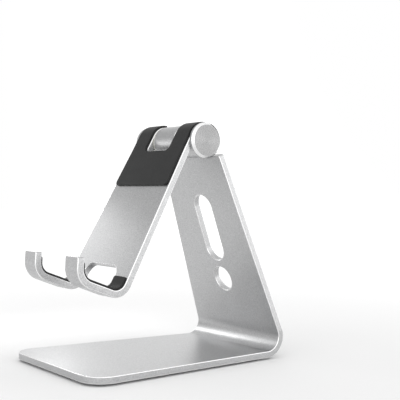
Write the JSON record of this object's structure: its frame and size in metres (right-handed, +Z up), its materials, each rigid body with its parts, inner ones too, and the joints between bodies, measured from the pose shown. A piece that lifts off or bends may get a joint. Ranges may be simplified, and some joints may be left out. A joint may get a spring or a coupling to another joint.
{
  "type": "phone stand",
  "caption": "Adjustable desk stand for a phone: a bent metal base and leg carry a padded, hooked cradle that tilts on a friction hinge, with a slot and hole for a charging cable.",
  "frame": {"origin": "on the desk, in the middle of the base plate's footprint", "axes": "+Z up, -Y towards the person, X along the hinge; +X is the side of the bolt's head"},
  "size_m": [0.0726, 0.1052, 0.1084],
  "materials": {
    "blasted_aluminium": "satin",
    "turned_aluminium": "gloss",
    "hinge_steel": "satin",
    "nylon": "matte",
    "bearing_plastic": "satin",
    "black_silicone": "matte"
  },
  "bodies": {
    "base": {"base_leg": "blasted_aluminium", "hinge_bush_right": "bearing_plastic", "hinge_bush_left": "bearing_plastic", "foot_front_left": "black_silicone", "foot_front_right": "black_silicone", "foot_rear_left": "black_silicone", "foot_rear_right": "black_silicone"},
    "cradle_arm": {"cradle": "blasted_aluminium", "end_cap_right": "turned_aluminium", "end_cap_left": "turned_aluminium", "hinge_bolt": "hinge_steel", "lock_nut": "hinge_steel", "spring_washers": "hinge_steel", "clamp_sleeve_right": "hinge_steel", "clamp_sleeve_left": "hinge_steel", "plain_washer_right": "hinge_steel", "plain_washer_left": "hinge_steel", "lock_nut_ring": "nylon", "back_pad": "black_silicone", "hook_pad_right": "black_silicone", "hook_pad_left": "black_silicone"}
  },
  "joints": [
    {"name": "cradle_tilt", "type": "hinge", "parent": "base", "child": "cradle_arm", "pos_m": [0, 0.01184, 0.0999], "axis": [-1, 0, 0], "range_deg": [-45, 174]}
  ]
}
